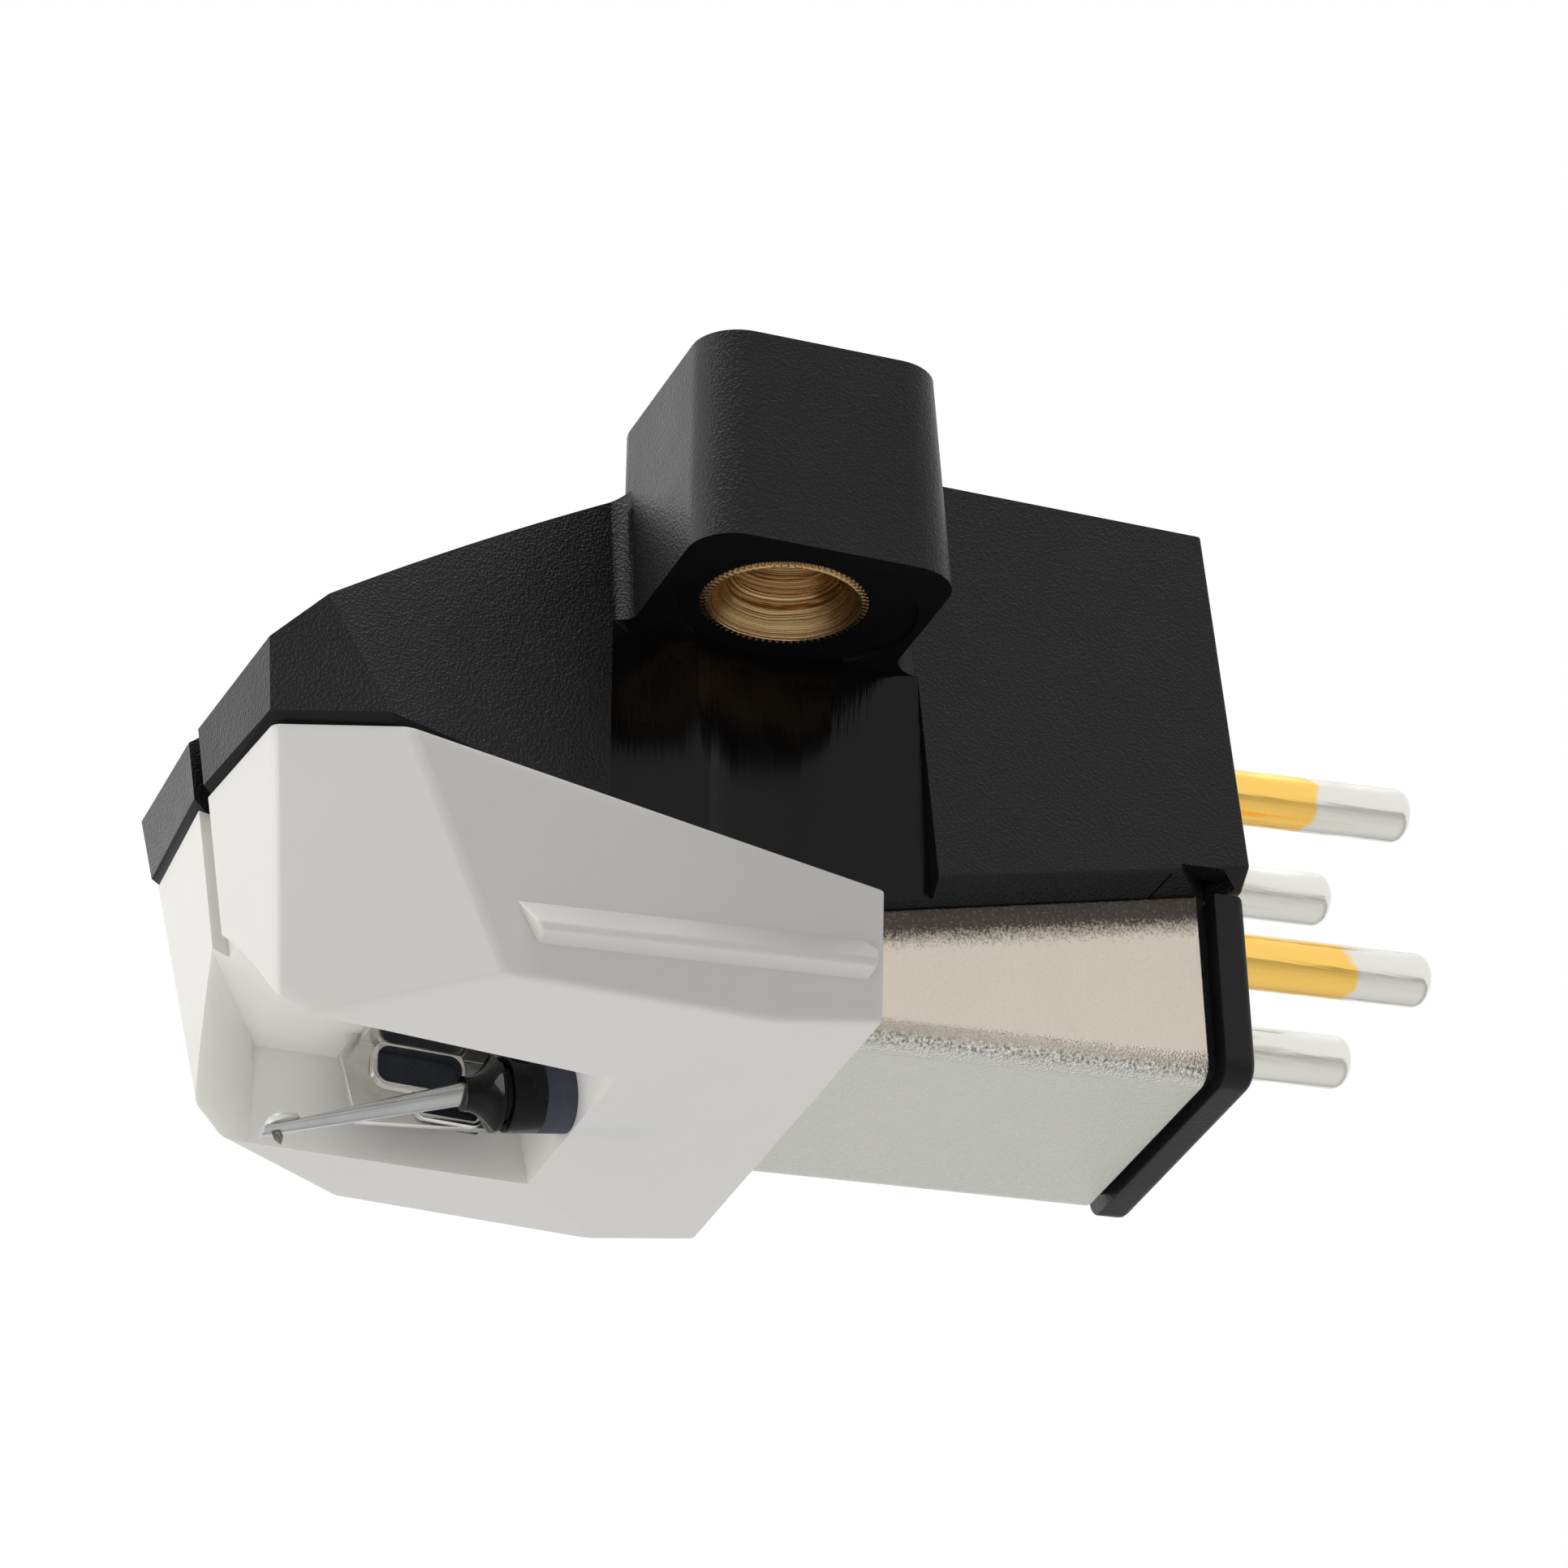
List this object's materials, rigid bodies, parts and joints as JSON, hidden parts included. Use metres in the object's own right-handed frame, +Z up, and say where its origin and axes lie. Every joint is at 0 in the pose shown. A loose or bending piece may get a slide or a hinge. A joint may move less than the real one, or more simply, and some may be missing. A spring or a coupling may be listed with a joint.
{
  "type": "turntable stylus cartridge",
  "caption": "Moving-magnet turntable cartridge with a faceted black body, a white pull-off stylus holder, a steel shield can and gold contact pins.",
  "frame": {"origin": "in the mounting plane, midway between the two fixing screws", "axes": "+Z up towards the headshell, +Y back towards the contact pins, -Y towards the stylus, +X to the right seen from behind the nose"},
  "size_m": [0.0184, 0.0292, 0.0174],
  "materials": {
    "shell_black": "matt moulded, fine grain",
    "plate_black": "matt moulded",
    "holder_white": "satin, warm white",
    "insert_brass": "turned",
    "can_steel": "satin, mottled at the bends",
    "pin_gold": "gold plated",
    "lamination": "satin",
    "coil_copper": "wound wire",
    "bracket_nickel": "stamped, bright",
    "sleeve_black": "gloss",
    "plug_grey": "matt",
    "damper_rubber": "matt",
    "hub_black": "high gloss",
    "arm_aluminium": "drawn",
    "magnet_grey": "sintered",
    "bond_clear": "glassy bead",
    "stylus_stone": "polished"
  },
  "bodies": {
    "cartridge": {"body_shell": "shell_black", "insert_left": "insert_brass", "insert_right": "insert_brass", "shield_can": "can_steel", "rear_plate": "plate_black", "terminal_block": "plate_black", "pin_left_upper": "pin_gold", "pin_right_upper": "pin_gold", "pin_left_lower": "pin_gold", "pin_right_lower": "pin_gold", "screen_plate": "lamination", "pole_left": "lamination", "pole_right": "lamination", "coil_left": "coil_copper", "coil_right": "coil_copper"},
    "stylus_unit": {"stylus_holder": "holder_white", "bracket": "bracket_nickel", "suspension_sleeve": "sleeve_black", "sleeve_plug": "plug_grey"},
    "wire": {"suspension_wire": "lamination", "damper_ring": "damper_rubber"},
    "arm": {"armature_hub": "hub_black", "armature_rod": "arm_aluminium", "magnet_left": "magnet_grey", "magnet_right": "magnet_grey", "cantilever": "arm_aluminium", "tip_bond": "bond_clear", "stylus_tip": "stylus_stone"}
  },
  "joints": [
    {"name": "stylus_release", "type": "slide", "parent": "cartridge", "child": "stylus_unit", "axis": [0, -0.9974, -0.0715], "range_m": [0, 0.006]},
    {"name": "arm_yaw", "type": "hinge", "parent": "stylus_unit", "child": "wire", "pos_m": [0, -0.004, -0.01519], "axis": [0, -0.1702, 0.9854], "range_deg": [-5, 5], "stiffness_Nm_per_rad": 0.0026, "deforming": ["damper_ring"]},
    {"name": "arm_pitch", "type": "hinge", "parent": "wire", "child": "arm", "pos_m": [0, -0.004, -0.01519], "axis": [1, 0, 0], "range_deg": [-6, 4], "stiffness_Nm_per_rad": 0.0026, "deforming": ["damper_ring"]}
  ]
}
